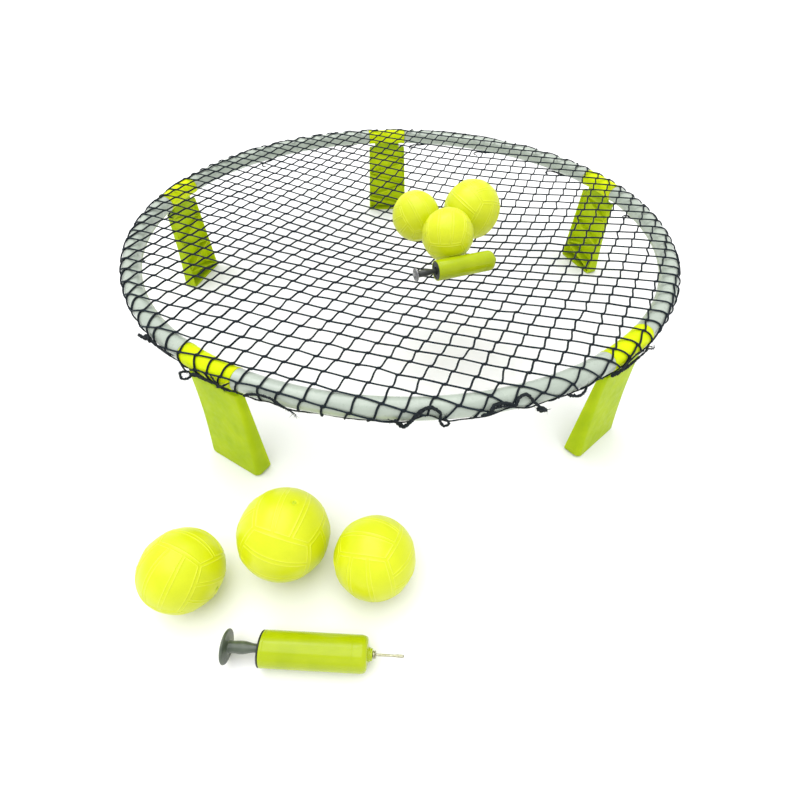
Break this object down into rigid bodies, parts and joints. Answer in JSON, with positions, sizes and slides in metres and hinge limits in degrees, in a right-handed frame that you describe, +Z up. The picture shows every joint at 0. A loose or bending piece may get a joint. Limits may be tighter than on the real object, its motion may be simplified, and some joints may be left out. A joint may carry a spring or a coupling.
{
  "type": "roundnet set",
  "caption": "Round trampoline-like lawn game: a knotted net laced over a low ring of grey tubes on curved lime legs, with lime balls and hand pumps.",
  "frame": {"origin": "middle of the whole set's footprint, on the ground; the rim's middle is 100 mm along +Y from it", "axes": "+Z up; +Y from the balls and pump on the ground towards the rim and its rear leg"},
  "size_m": [0.9216, 1.1344, 0.2783],
  "materials": {
    "leg_plastic": "satin moulded",
    "tube_plastic": "smooth, slightly translucent",
    "net_twine": "knotted twine",
    "lacing_cord": "braided cord",
    "ball_rubber": "satin with moulded panels",
    "valve_rubber": "satin",
    "pump_shell": "glossy, slightly translucent",
    "pump_cap": "satin",
    "rod_plastic": "satin",
    "knob_plastic": "satin",
    "seal_rubber": "matte",
    "needle_metal": "polished"
  },
  "bodies": {
    "rim": {"leg_1": "leg_plastic", "leg_2": "leg_plastic", "leg_3": "leg_plastic", "leg_4": "leg_plastic", "leg_5": "leg_plastic", "rim_tube_1": "tube_plastic", "rim_tube_2": "tube_plastic", "rim_tube_3": "tube_plastic", "rim_tube_4": "tube_plastic", "rim_tube_5": "tube_plastic", "net_bed": "net_twine", "net_border": "net_twine", "edge_cord": "lacing_cord", "net_tie_1": "lacing_cord", "net_tie_2": "lacing_cord", "net_tie_3": "lacing_cord", "net_tie_4": "lacing_cord", "net_tie_5": "lacing_cord", "net_tie_6": "lacing_cord", "net_tie_7": "lacing_cord", "net_tie_8": "lacing_cord", "net_tie_9": "lacing_cord", "net_tie_10": "lacing_cord", "net_tie_11": "lacing_cord", "net_tie_12": "lacing_cord", "net_tie_13": "lacing_cord", "net_tie_14": "lacing_cord", "net_tie_15": "lacing_cord"},
    "ball_1": {"ball_1": "ball_rubber", "ball_valve_1": "valve_rubber"},
    "ball_2": {"ball_2": "ball_rubber", "ball_valve_2": "valve_rubber"},
    "ball_3": {"ball_3": "ball_rubber", "ball_valve_3": "valve_rubber"},
    "ball_4": {"ball_4": "ball_rubber", "ball_valve_4": "valve_rubber"},
    "ball_5": {"ball_5": "ball_rubber", "ball_valve_5": "valve_rubber"},
    "ball_6": {"ball_6": "ball_rubber", "ball_valve_6": "valve_rubber"},
    "net_pump": {"net_pump_barrel": "pump_shell", "net_pump_end_cap": "pump_cap", "net_pump_check_flap": "seal_rubber"},
    "net_pump_plunger": {"net_pump_plunger": "pump_cap", "net_pump_knob": "knob_plastic", "net_pump_piston": "pump_cap", "net_pump_piston_seal": "seal_rubber"},
    "ground_pump": {"ground_pump_barrel": "pump_shell", "ground_pump_end_cap": "pump_cap", "ground_pump_check_flap": "seal_rubber", "ground_pump_needle_hub": "needle_metal", "ground_pump_needle": "needle_metal"},
    "ground_pump_plunger": {"ground_pump_plunger": "rod_plastic", "ground_pump_piston": "pump_cap", "ground_pump_piston_seal": "seal_rubber"}
  },
  "joints": [
    {"name": "ball_1_lift", "type": "slide", "parent": "rim", "child": "ball_1", "axis": [0, 0, 1], "range_m": [0, 0.25]},
    {"name": "ball_2_lift", "type": "slide", "parent": "rim", "child": "ball_2", "axis": [0, 0, 1], "range_m": [0, 0.25]},
    {"name": "ball_3_lift", "type": "slide", "parent": "rim", "child": "ball_3", "axis": [0, 0, 1], "range_m": [0, 0.25]},
    {"name": "ball_4_lift", "type": "slide", "parent": "rim", "child": "ball_4", "axis": [0, 0, 1], "range_m": [0, 0.25]},
    {"name": "ball_5_lift", "type": "slide", "parent": "rim", "child": "ball_5", "axis": [0, 0, 1], "range_m": [0, 0.25]},
    {"name": "ball_6_lift", "type": "slide", "parent": "rim", "child": "ball_6", "axis": [0, 0, 1], "range_m": [0, 0.25]},
    {"name": "net_pump_lift", "type": "slide", "parent": "rim", "child": "net_pump", "axis": [0.157, -0.4747, 0.866], "range_m": [0, 0.25]},
    {"name": "net_pump_stroke", "type": "slide", "parent": "net_pump", "child": "net_pump_plunger", "axis": [-0.9494, -0.314, 0], "range_m": [-0.0245, 0.04]},
    {"name": "ground_pump_lift", "type": "slide", "parent": "rim", "child": "ground_pump", "axis": [0, 0, 1], "range_m": [0, 0.25]},
    {"name": "ground_pump_stroke", "type": "slide", "parent": "ground_pump", "child": "ground_pump_plunger", "axis": [-0.9966, 0.0819, 0], "range_m": [-0.0335, 0.055]}
  ]
}
